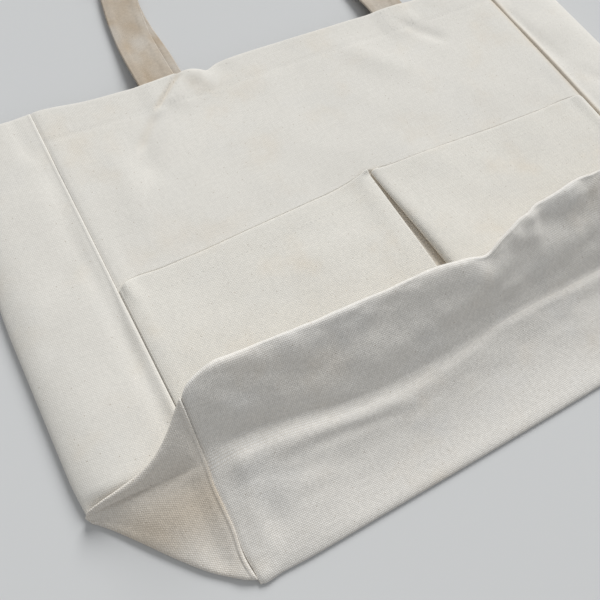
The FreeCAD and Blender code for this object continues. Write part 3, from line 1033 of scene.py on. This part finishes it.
def over_back(x, y):
    return np.full_like(x, MID + INNER_SIDE)


def under_base(x, y):
    return level_on(SEAM_CLIMB, y) - ALLOWANCE_PLIES / 2 - 1.2


def side_seams():
    hem = RIM_Y - HEM_DEPTH
    seam_strip("front_allowance", np.arange(80, hem, 3), under_front, "front_wall", "front_seam")
    seam_strip("back_allowance", np.arange(14, hem, 3), over_back, "bag_body", "back_seam")
    seam_strip("base_allowance", np.arange(12, 95, 2.5), under_base, "bag_body", "base_seam")


# ---- pockets

FOOT_Y = 84  # the pockets end here, under the ridge
POCKET_ROWS = np.linspace(0, 1, 56)
PLY_GAP = 0.78  # a pocket's cloth over the front's, middle to middle
# Across the free side of the right pocket: distance from its edge and height over the front
FREE_SIDE = [
    (4.6, -1), (1.6, -0.8), (-0.5, 0.2), (-0.6, 1.9), (0.8, 3.3), (3.6, 4.1), (8, 4.2), (16, 3.8),
    (28, 3), (46, 2.2), (80, 1.8), (110, 1.6), (140, 1.7), (165, 1.5), (178, 1.2),
]
# And where it sinks into the side seam: distance from the seam and height over the front
SEWN_SIDE = [
    (7, 1.1), (4.6, 0.9), (2.6, 0.3), (1.4, 0.05), (0.8, 0),
]


def pocket_lumps(x, y, seed):
    return noises(x, y, (0.5, 48, seed), (0.18, 17, seed + 1))


def edge_seam(inset, y, top):
    """How a pocket sinks into the side seam, with its upper corner held back a little."""
    corner = smooth((y - top + 22) / 20)
    rise = smooth((inset - 0.5) / (12 - 6 * corner))
    return rise * (1 - smooth((1.4 + 2.2 * corner - inset) / 2.6))


def left_pocket_grid():
    room = 184
    across = spaced(room, 2.4, fine=0.5, margin=5) / room
    start = -SEAM_X + 0.8
    top = level_on(LEFT_TOP, start + across * (SEAM_X - 5.5))
    y = FOOT_Y + POCKET_ROWS[:, None] * (top[None, :] - FOOT_Y)
    edge = slant(y - 2, -4.6, 1.6)
    x = start + across[None, :] * (edge - start)
    inset = x + SEAM_X
    rest = edge - x
    lift = 0.9 + 0.9 * after(y, 88, 50) + 1.2 * bell(rest - 8, 8) * after(y, 120, 60)
    lift = lift + pocket_lumps(x, y, 41) * after(inset, 4, 12) * after(rest, 3, 10)
    rounded = np.sqrt(np.clip(1 - (np.maximum(1.3 - rest, 0) / 1.3) ** 2, 0, 1))
    lift = np.clip(lift * edge_seam(inset, y, top[None, :]) * rounded, 0.02, None) + PLY_GAP
    z = front_height(np.minimum(x, edge - 9), y) + lift
    return xyz(x, y, z), inset[-1]


def right_column(x_flat):
    """y along the right pocket, from its foot to its mouth."""
    return FOOT_Y + POCKET_ROWS * (level_on(RIGHT_TOP, x_flat) - FOOT_Y)


def right_pocket_grid():
    columns = []
    for reach, height in FREE_SIDE:
        y = right_column(3 + reach)
        edge = slant(y, -1.6, 6.6)
        stretch = (SEAM_X - edge) / (SEAM_X - 3) if reach > 20 else 1
        ease = before(reach, 46, 40)
        strength = 1 + ease * (-0.42 + 0.42 * before(y, 186, 50) - 0.3 * before(y, 100, 20))
        if height < 0:
            strength = before(y, 192, 24)
        columns.append(xyz(edge + reach * stretch, y, PLY_GAP + height * strength))
    for inset, height in SEWN_SIDE:
        x = SEAM_X - inset
        columns.append(xyz(x, right_column(x), PLY_GAP + height))
    grid, u = curve_through(columns, 2.4)
    grid = grid.transpose(1, 0, 2)
    x, y = grid[..., 0], grid[..., 1]
    lumps = pocket_lumps(x, y, 51) * after(x, 22, 20) * smooth((SEAM_X - 4 - x) / 12)
    grid[..., 2] += front_height(np.maximum(x, slant(y, 10.4, 8.6)), y) + lumps
    return grid, u


def pockets():
    for side, maker in (("left", left_pocket_grid), ("right", right_pocket_grid)):
        grid, u = maker()
        v = POCKET_ROWS * (POCKET_TOP - FOOT_Y)
        row = len(v) - 1 - int(round((POCKET_HEM_DEPTH - 3) / (v[1] - v[0])))
        normals = grid_normals(grid)[row]
        line = grid[row] + normals * CLOTH / 2
        grid, v = turned_hem(grid, v, POCKET_HEM_DEPTH, CLOTH + 0.05)
        piece = cloth(side + "_pocket_cloth", grid, u, v, "pocket_canvas")
        bends_with_front(piece)
        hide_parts(side + "_pocket", side + "_pocket_hem")
        runs = runs_along(line[8:-8], normals[8:-8], STITCH_PITCH)
        thread = stitches(side + "_pocket_hem_thread", runs)
        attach(thread, "front_wall")
        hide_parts(side + "_pocket_hem_stitches")


# ---- handles

# Across a strap, as shares of half its width: closer together towards its edges
ACROSS_STRAP = (-1, -0.985, -0.95, -0.88, -0.76, -0.6, -0.4, -0.2,
                0, 0.2, 0.4, 0.6, 0.76, 0.88, 0.95, 0.985, 1)


def strap_line(nested, shift, start_z):
    """Middle, width direction and distance along a handle, from one sewn end to the other."""
    turns = np.linspace(0, math.pi, 121)
    along = np.sin(turns)
    slope = unit(np.stack([STRAP_X * np.sin(turns), LOOP_REACH * np.cos(turns)], axis=1))
    outward = np.stack([-slope[:, 1], slope[:, 0]], axis=1)
    twist = math.radians(88) * after(along, 0.45, 0.5)
    on_floor = (np.sin(twist) * STRAP_WIDTH + np.cos(twist) * STRAP_THICK) / 2
    inward = nested * np.sin(twist)
    x = -STRAP_X * np.cos(turns) + shift * (1 - after(along, 0.1, 0.35)) - outward[:, 0] * inward
    y = LOOP_START + LOOP_REACH * along - outward[:, 1] * inward
    z = start_z + (on_floor + nested * np.cos(twist) - start_z) * smooth(along / 0.25)
    wide = np.concatenate([outward * np.cos(twist)[:, None], np.sin(twist)[:, None]], axis=1)
    ends = np.arange(STRAP_END_Y, LOOP_START - 0.5, 3)
    left, right = (xyz(shift + side * STRAP_X, ends[::-side], start_z) for side in (-1, 1))
    middle = np.concatenate([left, xyz(x, y, z), right])
    wide = np.concatenate([np.repeat(wide[:1], len(ends), axis=0), wide,
                           np.repeat(wide[-1:], len(ends), axis=0)])
    return middle, wide, running(gaps(middle))


def strap(name, nested, shift, start_z):
    middle, wide, run = strap_line(nested, shift, start_z)
    half = STRAP_WIDTH / 2 - 0.5
    across = np.array(ACROSS_STRAP) * half
    grid = middle[:, None, :] + wide[:, None, :] * across[None, :, None]
    xx, yy = np.broadcast_arrays(across[None, :], run[:, None])
    loose = after(yy, 30, 25) * smooth((run[-1] - 30 - yy) / 25)
    puff = 0.22 * (1 - (xx / half) ** 2) - 0.55 * bell(np.abs(xx) - (half - 3), 0.8)
    lumps = noises(xx, yy, (0.6, 30, 61 + int(nested)), (0.35, 12, 67))
    grid = raised(grid, lumps * loose + puff)
    piece = cloth(name + "_webbing", grid, across, run, "strap_canvas", STRAP_THICK, tanned=strap_patches)
    start = frame_point(0, RIM_Y - 1, 0)
    end = frame_point(0, RIM_Y + 15, 0)
    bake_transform(piece)
    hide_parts(name + "_strap", name + "_ends")


def handles():
    nested = BACK_STRAP_Z  # the two straps' spacing where they lie together
    strap("back_handle", 0, BACK_STRAP_SHIFT, BACK_STRAP_Z)
    strap("front_handle", nested, 0, FRONT_STRAP_Z)


# ---- sewing

TACK_HALF = 10.5  # half the side of a box tack
TACK_PITCH = 3
TACK_STITCH = 2
DIVIDER_FOOT = 84  # the stitches between the pockets, from their foot up
DIVIDER_RUN = 102


def draped_runs(x, y, height, pitch):
    """Stitch places along a line laid on a surface."""
    dx = height(x + 0.5, y) - height(x - 0.5, y)
    dy = height(x, y + 0.5) - height(x, y - 0.5)
    ups = unit(xyz(-dx, -dy, 1))
    return runs_along(xyz(x, y, height(x, y)) + ups * CLOTH / 2, ups, pitch)


def tack_runs(centres, height):
    """Stitch places of box tacks in the rim hem: their sides and their diagonals."""
    corners = np.array([(-1, -1), (1, -1), (1, 1), (-1, 1)]) * TACK_HALF
    share = np.linspace(0, 1, 20)[:, None]
    runs = []
    for centre in centres:
        middle = np.array([centre, RIM_Y - HEM_DEPTH / 2])
        for a, b in ((0, 1), (1, 2), (2, 3), (3, 0), (0, 2), (1, 3)):
            x, y = (middle + corners[a] * (1 - share) + corners[b] * share).T
            runs += draped_runs(x, y, height, TACK_PITCH)
    return runs


def back_inside(x, y):
    """Where the back's stitches lie, less the half ply that draped_runs adds."""
    return np.full_like(x, BACK_STRAP_Z + (STRAP_THICK - CLOTH) / 2)


def sewing():
    x = np.linspace(-SEAM_X + 3, SEAM_X - 3, 160)
    hem = stitches("front_hem_thread",
                   draped_runs(x, rim_line(x) - HEM_DEPTH + 2.4, front_height, STITCH_PITCH))
    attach(hem, "front_wall")
    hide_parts("front_hem_stitches")
    tacks = stitches("front_tack_thread", tack_runs((-STRAP_X, STRAP_X), front_height), TACK_STITCH)
    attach(tacks, "front_wall")
    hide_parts("front_handle_tacks")
    centres = (BACK_STRAP_SHIFT - STRAP_X, BACK_STRAP_SHIFT + STRAP_X)
    tacks = stitches("back_tack_thread", tack_runs(centres, back_inside), TACK_STITCH)
    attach(tacks, "bag_body")
    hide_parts("back_handle_tacks")
    y = np.linspace(DIVIDER_FOOT, DIVIDER_FOOT + DIVIDER_RUN, 60)
    x = 1.2 - 3.2 * (y - DIVIDER_FOOT) / DIVIDER_RUN
    runs = []
    for beside in (-1.8, 1.8):
        runs += draped_runs(x + beside, y, front_height, STITCH_PITCH)
    divider = stitches("pocket_divider_thread", runs)
    bends_with_front(divider)
    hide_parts("pocket_divider_stitches")


body_cloth()
front_cloth()
gussets()
ears()
side_seams()
pockets()
handles()
sewing()


# ---- camera and light

CAMERA_AT = (-223.1, -11.8, 370.1)  # millimetres, like the shapes above
AIM_AT = (-91.1, 134.8, 0)  # where the camera looks at the floor
CAMERA_ROLL = math.radians(-14.1)
LENS = 39.94
SENSOR = 36


def camera():
    eye = frame_point(*CAMERA_AT)
    ahead = (frame_point(*AIM_AT) - eye).normalized()
    level = ahead.cross(Vector((0, 0, 1))).normalized()
    right = Matrix.Rotation(CAMERA_ROLL, 3, ahead) @ level
    turn = Matrix((right, right.cross(ahead), -ahead)).transposed()
    data = bpy.data.cameras.new("camera")
    data.sensor_width = SENSOR
    data.lens = LENS
    data.clip_start = 0.01
    data.clip_end = 20
    holder = add_object("camera", data)
    holder.matrix_world = Matrix.Translation(eye) @ turn.to_4x4()
    bpy.context.scene.camera = holder


KEY_FROM = (0.6, 0.72, 0.59)  # direction the main light comes from
FILL_FROM = (-0.45, -0.9, 0.55)
SOFTNESS = math.radians(30)  # how wide each light seems
FLOOR_REACH = 40
FLOOR_GREY = (0.62, 0.62, 0.62, 1)
SKY = (0.95, 0.98, 1, 1)
SKY_STRENGTH = 0.37


def sun_light(name, source, strength, colour):
    """Parallel studio light."""
    data = bpy.data.lights.new(name, "SUN")
    data.energy = strength
    data.angle = SOFTNESS
    data.color = colour
    lamp = add_object(name, data)
    lamp.location = Vector(source) * 2
    lamp.rotation_mode = "QUATERNION"
    lamp.rotation_quaternion = (-Vector(source)).to_track_quat("-Z", "Y")


def studio():
    mesh = bpy.data.meshes.new("floor")
    corners = [(x * FLOOR_REACH, y * FLOOR_REACH, 0) for x, y in ((-1, -1), (1, -1), (1, 1), (-1, 1))]
    mesh.from_pydata(corners, [], [(0, 1, 2, 3)])
    floor = add_object("floor", mesh)
    g = Graph("studio_floor")
    g.surface(Base_Color=FLOOR_GREY, Roughness=0.9)
    mesh.materials.append(g.material)
    world = bpy.data.worlds.new("studio")
    world.use_nodes = True
    background = world.node_tree.nodes["Background"]
    background.inputs["Color"].default_value = SKY
    background.inputs["Strength"].default_value = SKY_STRENGTH
    bpy.context.scene.world = world
    sun_light("key_light", KEY_FROM, 3.15, (0.99, 1, 1))
    sun_light("low_light", FILL_FROM, 0.22, (0.97, 0.98, 1))
    bpy.context.scene.view_settings.view_transform = "Standard"


camera()
studio()
